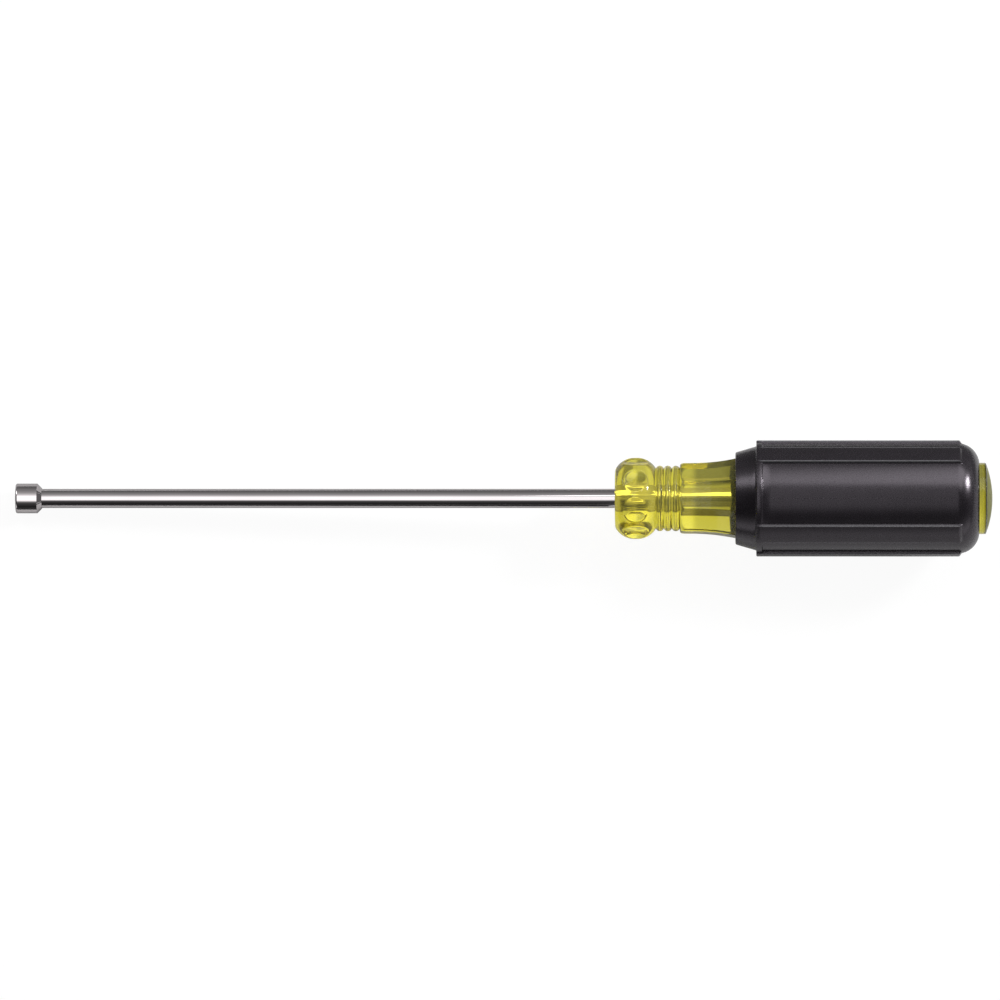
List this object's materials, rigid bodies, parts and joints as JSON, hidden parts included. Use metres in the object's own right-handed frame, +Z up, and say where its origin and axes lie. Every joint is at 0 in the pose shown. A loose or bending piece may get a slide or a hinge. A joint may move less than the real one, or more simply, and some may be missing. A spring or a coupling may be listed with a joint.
{
  "type": "nut driver",
  "caption": "Hand nut driver: hex socket on a long hollow chromed shank, clear yellow plastic handle core and a ribbed black cushion grip.",
  "frame": {"origin": "centre of the socket's mouth, on the axis of the shank", "axes": "+X along the axis from the socket back to the handle, +Z up out of the middle of the wide bare panel of the grip, +Y to the side"},
  "size_m": [0.2481, 0.0294, 0.0287],
  "materials": {
    "socket_chrome": "polished",
    "shank_chrome": "polished",
    "clear_plastic": "clear, glossy",
    "grip_vinyl": "satin",
    "code_disc": "satin"
  },
  "bodies": {
    "root": {"socket": "socket_chrome", "shaft": "shank_chrome", "handle": "clear_plastic", "cushion_grip": "grip_vinyl", "size_code_disc": "code_disc"}
  },
  "joints": []
}
